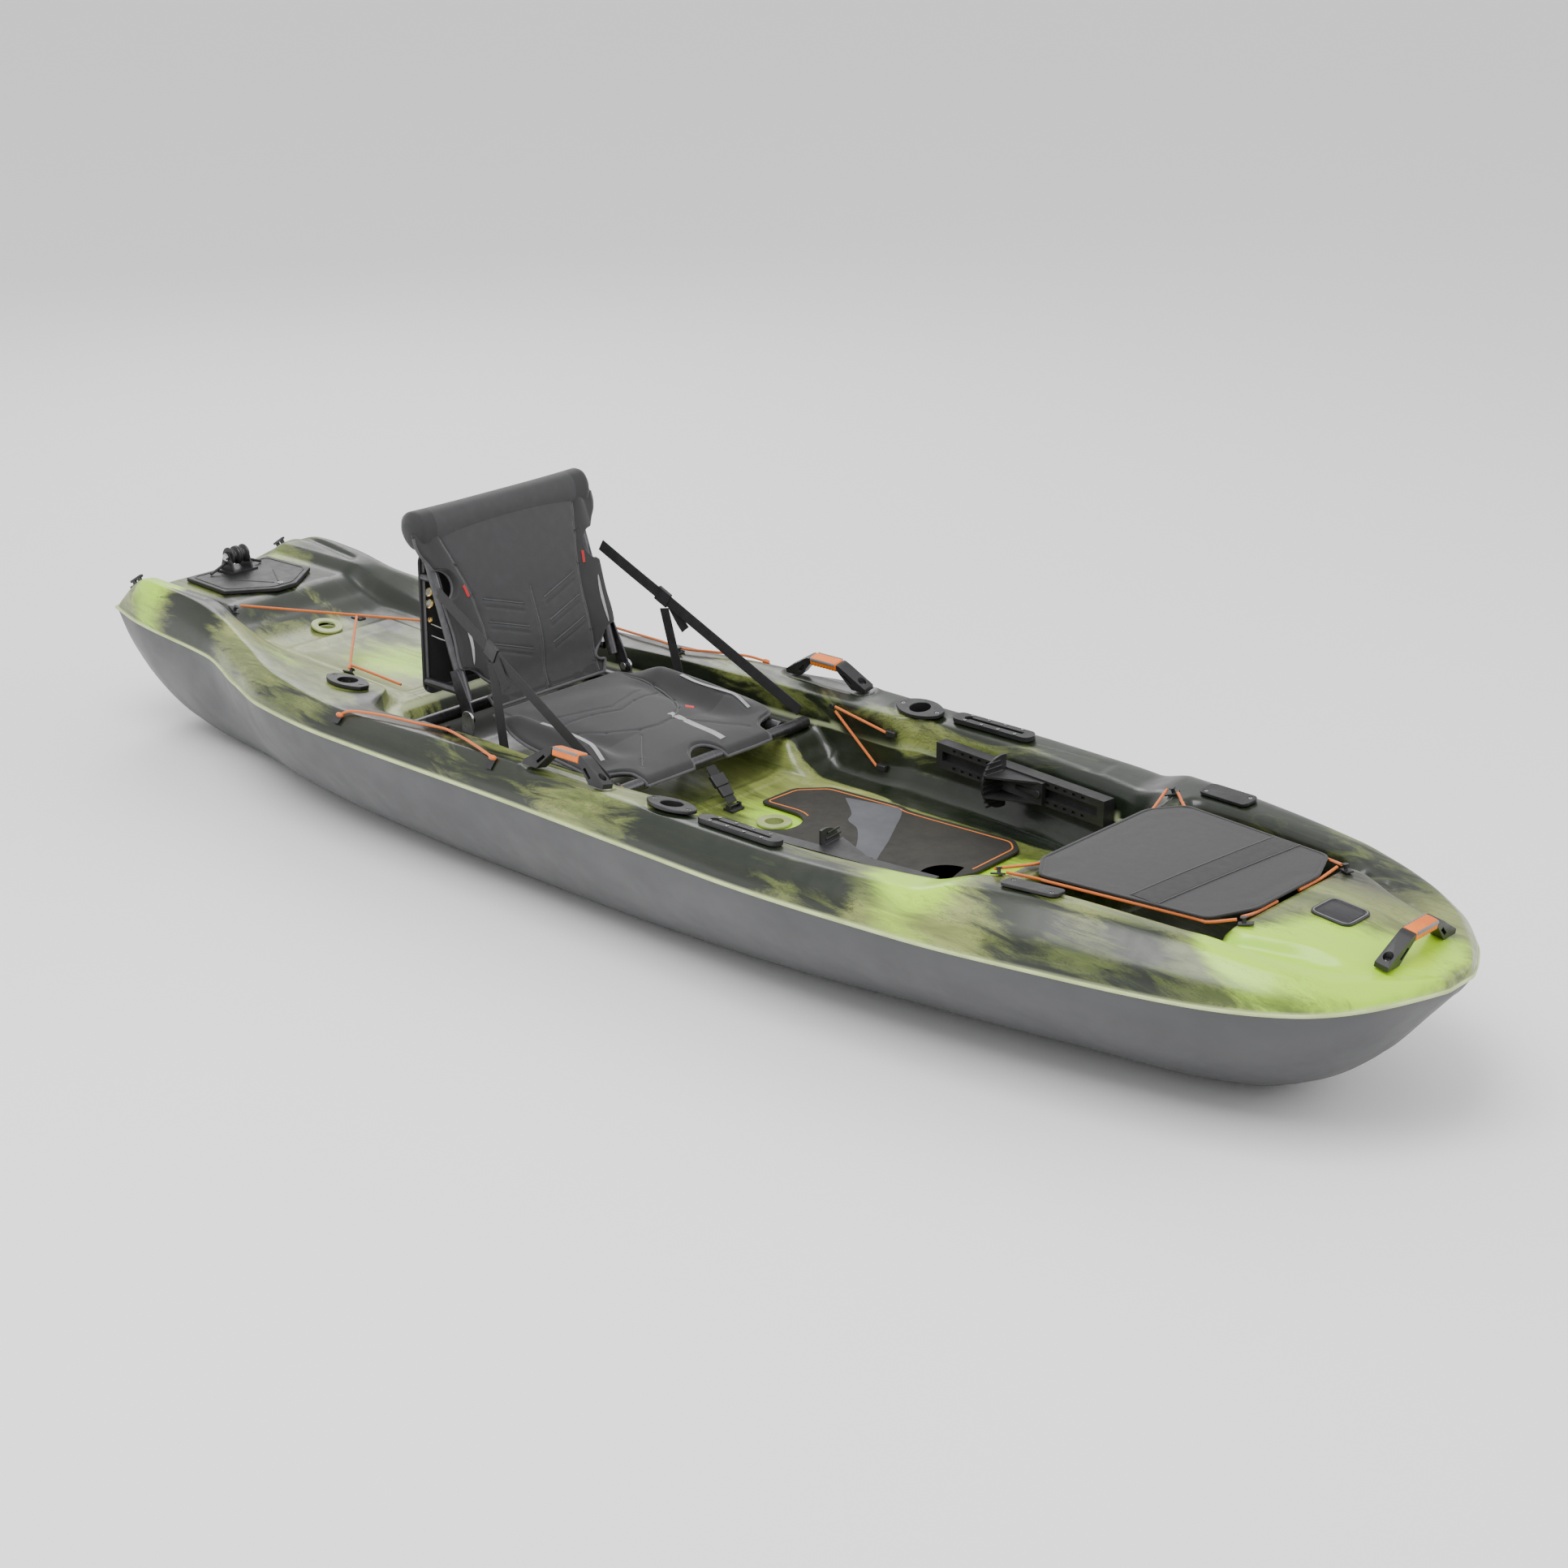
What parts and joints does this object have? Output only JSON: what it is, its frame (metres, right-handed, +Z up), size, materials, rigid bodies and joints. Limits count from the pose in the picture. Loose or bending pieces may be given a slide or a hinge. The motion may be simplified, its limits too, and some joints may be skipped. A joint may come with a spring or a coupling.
{
  "type": "sit-on-top fishing kayak",
  "caption": "Sit-on-top fishing kayak with a framed folding seat, sliding foot braces, flush rod holders, gear tracks, tank well and covered bow well.",
  "frame": {"origin": "on the ground, under the middle of the hull", "axes": "+X towards the bow, +Y to port, +Z up"},
  "size_m": [3.2, 0.8626, 0.6863],
  "materials": {
    "hull_plastic": "satin moulded polyethylene",
    "deck_plastic": "swirled lime, olive and dark green moulded polyethylene",
    "foam": "closed-cell foam",
    "fitting_black": "satin moulded nylon",
    "cord_orange": "braided stretch cord",
    "grip_rubber": "ribbed",
    "cover_cloth": "coated woven cloth",
    "pad_foam": "grained foam",
    "webbing": "flat woven strap",
    "seat_cloth": "quilted mesh cloth",
    "panel_cloth": "stiffened cloth",
    "silver_cord": "braided cord",
    "tube_metal": "gunmetal powder coat",
    "bracket_metal": "satin powder coat",
    "bare_steel": "brushed"
  },
  "bodies": {
    "boat": {"hull_shell": "hull_plastic", "deck_shell": "deck_plastic", "foam_stringers": "foam", "scupper_tubes": "deck_plastic", "drain_socket": "fitting_black", "rod_holder_front_left": "fitting_black", "rod_holder_front_right": "fitting_black", "rod_holder_rear_left": "fitting_black", "rod_holder_rear_right": "fitting_black", "gear_track_left": "fitting_black", "gear_track_right": "fitting_black", "accessory_plates": "fitting_black", "side_handle_left": "fitting_black", "side_handle_right": "fitting_black", "side_grips": "grip_rubber", "bow_handle": "fitting_black", "bow_grip": "grip_rubber", "bow_badge": "fitting_black", "bow_cover": "cover_cloth", "bow_cover_bungee": "cord_orange", "bow_hooks": "fitting_black", "tank_bungee": "cord_orange", "tank_hooks": "fitting_black", "paddle_bungees": "cord_orange", "paddle_hooks": "fitting_black", "wall_bungees": "cord_orange", "wall_clips": "fitting_black", "foot_track_left": "fitting_black", "foot_track_right": "fitting_black", "floor_pad": "pad_foam", "strap_anchor": "fitting_black", "front_strap": "webbing", "buckle_housing": "fitting_black", "buckle_plug": "fitting_black", "stern_plate": "fitting_black", "roller_bracket": "fitting_black", "roller_axle": "bare_steel", "stern_cleats": "fitting_black", "seat_front_tube": "tube_metal", "seat_side_tubes": "tube_metal", "seat_rear_tube": "tube_metal", "seat_base_sling": "seat_cloth", "hinge_pins": "bare_steel", "recline_straps": "webbing", "strap_buckles": "fitting_black", "side_straps": "webbing", "fitting_screws": "bare_steel"},
    "backrest": {"back_uprights": "tube_metal", "back_cross_tubes": "tube_metal", "back_sling": "seat_cloth", "back_panel": "panel_cloth", "panel_lacing": "silver_cord", "hinge_brackets": "bracket_metal"},
    "pedal_left": {"foot_pedal_left": "fitting_black"},
    "pedal_right": {"foot_pedal_right": "fitting_black"},
    "lever_left": {"pedal_lever_left": "fitting_black"},
    "lever_right": {"pedal_lever_right": "fitting_black"},
    "wheel_left": {"roller_left": "fitting_black"},
    "wheel_right": {"roller_right": "fitting_black"},
    "drain_cap": {"drain_plug": "fitting_black"}
  },
  "joints": [
    {"name": "backrest_fold", "type": "hinge", "parent": "boat", "child": "backrest", "pos_m": [-0.466, 0, 0.2915], "axis": [0, 1, 0], "range_deg": [0, 75]},
    {"name": "foot_pedal_slide_left", "type": "slide", "parent": "boat", "child": "pedal_left", "axis": [0.9944, -0.1058, 0], "range_m": [-0.11, 0.11]},
    {"name": "foot_pedal_slide_right", "type": "slide", "parent": "boat", "child": "pedal_right", "axis": [0.9944, 0.1058, 0], "range_m": [-0.11, 0.11]},
    {"name": "pedal_lever_turn_left", "type": "hinge", "parent": "pedal_left", "child": "lever_left", "pos_m": [0.57727, 0.23953, 0.268], "axis": [-0.1058, -0.9944, 0], "range_deg": [0, 12], "stiffness_Nm_per_rad": 0.05},
    {"name": "pedal_lever_turn_right", "type": "hinge", "parent": "pedal_right", "child": "lever_right", "pos_m": [0.57727, -0.23953, 0.268], "axis": [0.1058, -0.9944, 0], "range_deg": [0, 12], "stiffness_Nm_per_rad": 0.05},
    {"name": "stern_roller_spin_left", "type": "hinge", "parent": "boat", "child": "wheel_left", "pos_m": [-1.44679, 0.01125, 0.3833], "axis": [0, 1, 0], "continuous": true},
    {"name": "stern_roller_spin_right", "type": "hinge", "parent": "boat", "child": "wheel_right", "pos_m": [-1.44679, -0.01125, 0.3833], "axis": [0, 1, 0], "continuous": true},
    {"name": "drain_plug_turn", "type": "hinge", "parent": "boat", "child": "drain_cap", "pos_m": [-1.58457, 0, 0.15], "axis": [0.9933, 0, 0.1152], "continuous": true}
  ]
}
